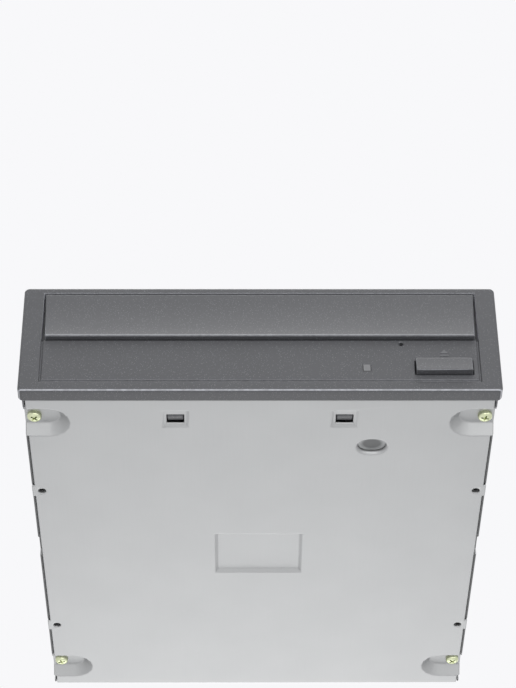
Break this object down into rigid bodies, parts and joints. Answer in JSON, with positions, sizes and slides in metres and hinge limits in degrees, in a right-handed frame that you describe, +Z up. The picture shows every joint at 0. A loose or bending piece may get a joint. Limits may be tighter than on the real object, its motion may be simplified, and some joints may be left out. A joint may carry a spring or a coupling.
{
  "type": "optical disc drive",
  "caption": "Half-height internal optical disc drive: steel covers, charcoal bezel, sliding motor-driven disc tray, lifting traverse with spindle and pickup, eject button and rear connector.",
  "frame": {"origin": "middle of the four bottom mounting holes, on the underside", "axes": "+X to the right seen from the front, +Y from the bezel to the rear, +Z up"},
  "size_m": [0.1482, 0.172, 0.0416],
  "materials": {
    "covers": "zinc-plated sheet, matt",
    "bezel": "spark-eroded charcoal moulding",
    "tray": "black moulding",
    "frame": "black glass-filled moulding",
    "acetal": "natural white moulding",
    "zinc_screw": "yellow-passivated zinc",
    "steel": "bright ground steel",
    "motor_can": "drawn, plated can",
    "rubber": "black rubber",
    "board": "green solder mask",
    "chip": "black moulding compound",
    "diecast": "die-cast, raw",
    "lens": "coated lens",
    "clear": "milky clear moulding",
    "contact": "gold flash",
    "ribbon": "flat cable film",
    "thermal": "grey soft pad",
    "ferrite": "sintered magnet"
  },
  "bodies": {
    "chassis": {"bottom_cover": "covers", "top_cover": "covers", "front_bezel": "bezel", "cover_screws": "zinc_screw", "loader_frame": "frame", "clamp_bridge": "covers", "bridge_screws": "zinc_screw", "main_board": "board", "main_chip": "chip", "thermal_pad": "thermal", "board_chips": "chip", "board_capacitors": "motor_can", "rear_connector": "frame", "connector_contacts": "contact", "ribbon_sockets": "acetal", "loader_ribbon": "ribbon", "board_screws": "zinc_screw", "front_board": "board", "eject_switch": "chip", "status_light": "clear", "light_pipe": "clear", "tray_switch": "chip", "loading_motor": "motor_can", "motor_screws": "zinc_screw", "drive_belt": "rubber"},
    "tray": {"disc_tray": "tray", "tray_door": "bezel"},
    "drive_gear": {"tray_drive_gear": "acetal"},
    "belt_wheel": {"pulley_gear": "acetal"},
    "motor_rotor": {"motor_shaft": "steel", "motor_pulley": "acetal"},
    "button": {"eject_button": "bezel", "switch_plunger": "acetal"},
    "slider": {"cam_slider": "acetal"},
    "traverse": {"lift_frame": "frame", "traverse_plate": "covers", "damper_grommets": "rubber", "damper_screws": "zinc_screw", "guide_rods": "steel", "rod_holders": "frame", "spindle_base": "covers", "spindle_stator": "contact", "sled_motor": "motor_can"},
    "spindle": {"spindle_rotor": "motor_can", "turntable": "frame", "turntable_pad": "rubber", "hub_magnet": "ferrite"},
    "clamper": {"clamper_puck": "frame", "clamper_yoke": "steel", "clamper_cap": "frame"},
    "screw": {"lead_screw": "steel"},
    "sled": {"pickup_base": "diecast", "pickup_cover": "covers", "sled_nut": "acetal"},
    "lens": {"lens_holder": "frame", "objective_lens": "lens"}
  },
  "joints": [
    {"name": "tray_slide", "type": "slide", "parent": "chassis", "child": "tray", "axis": [0, -1, 0], "range_m": [0, 0.132]},
    {"name": "drive_gear_spin", "type": "hinge", "parent": "chassis", "child": "drive_gear", "pos_m": [-0.035, -0.06502, 0.023], "axis": [0, 0, 1], "range_deg": [0, 840.76]},
    {"name": "belt_wheel_spin", "type": "hinge", "parent": "chassis", "child": "belt_wheel", "pos_m": [-0.014, -0.06502, 0.021], "axis": [0, 0, 1], "range_deg": [-1681.52, 0]},
    {"name": "motor_spin", "type": "hinge", "parent": "chassis", "child": "motor_rotor", "pos_m": [0.0353, -0.06302, 0.019], "axis": [0, 0, 1], "range_deg": [-5780.21, 0]},
    {"name": "button_press", "type": "slide", "parent": "chassis", "child": "button", "axis": [0, 1, 0], "range_m": [0, 0.0008], "stiffness_N_per_m": 1500},
    {"name": "cam_slide", "type": "slide", "parent": "chassis", "child": "slider", "axis": [1, 0, 0], "range_m": [0, 0.02]},
    {"name": "traverse_tilt", "type": "hinge", "parent": "chassis", "child": "traverse", "pos_m": [0, 0.05897, 0.017], "axis": [1, 0, 0], "range_deg": [0, 5.62]},
    {"name": "spindle_spin", "type": "hinge", "parent": "traverse", "child": "spindle", "pos_m": [0, -0.02102, 0.028], "axis": [0, 0, 1], "continuous": true},
    {"name": "clamper_spin", "type": "hinge", "parent": "chassis", "child": "clamper", "pos_m": [0, -0.02102, 0.036], "axis": [0, 0, 1], "continuous": true},
    {"name": "sled_slide", "type": "slide", "parent": "traverse", "child": "sled", "axis": [0, 1, 0], "range_m": [0, 0.036]},
    {"name": "screw_spin", "type": "hinge", "parent": "traverse", "child": "screw", "pos_m": [0.03, 0.01298, 0.0231], "axis": [0, 1, 0], "range_deg": [0, 4322.16]},
    {"name": "lens_focus", "type": "slide", "parent": "sled", "child": "lens", "axis": [0, 0, 1], "range_m": [-0.0006, 0.0006], "stiffness_N_per_m": 40}
  ],
  "couplings": [
    {"joint": "drive_gear_spin", "follows": "tray_slide", "rad_per_m": 111.11},
    {"joint": "belt_wheel_spin", "follows": "tray_slide", "rad_per_m": -222.22},
    {"joint": "motor_spin", "follows": "tray_slide", "rad_per_m": -763.89},
    {"joint": "traverse_tilt", "follows": "cam_slide", "rad_per_m": 4.8869},
    {"joint": "clamper_spin", "follows": "spindle_spin", "ratio": 1},
    {"joint": "screw_spin", "follows": "sled_slide", "rad_per_m": 2094.4}
  ]
}
